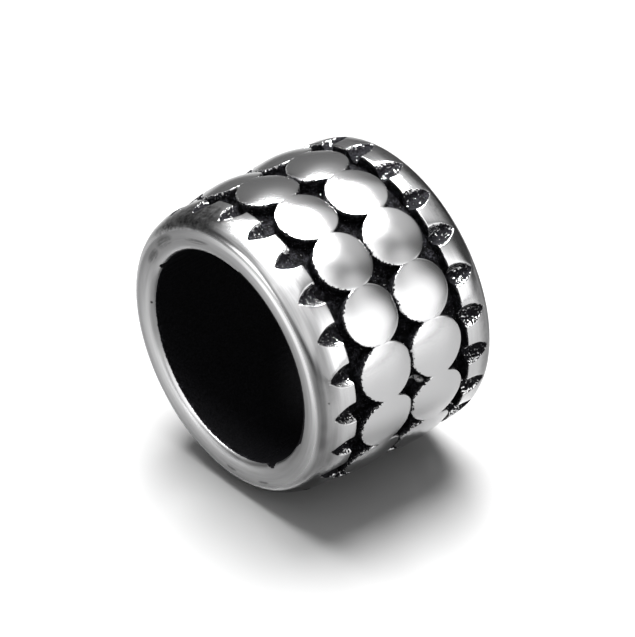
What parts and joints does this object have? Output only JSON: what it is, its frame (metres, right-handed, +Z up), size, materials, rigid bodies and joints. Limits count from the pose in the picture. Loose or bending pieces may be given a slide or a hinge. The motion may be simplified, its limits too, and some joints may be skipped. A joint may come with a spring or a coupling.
{
  "type": "dreadlock bead",
  "caption": "Short cast steel tube bead with an open round bore for a lock of hair, raised domed discs round its middle and notched plain rims.",
  "frame": {"origin": "centre of the bore, halfway between the two end faces", "axes": "+X along the bore, +Z up with the bead lying on its side on two neighbouring discs of each row"},
  "size_m": [0.0084, 0.012, 0.012],
  "materials": {
    "steel": "cast stainless steel, polished on the raised discs and rims, satin on the end faces, blackened in the recesses, notches and bore"
  },
  "bodies": {
    "root": {"bead": "steel"}
  },
  "joints": []
}
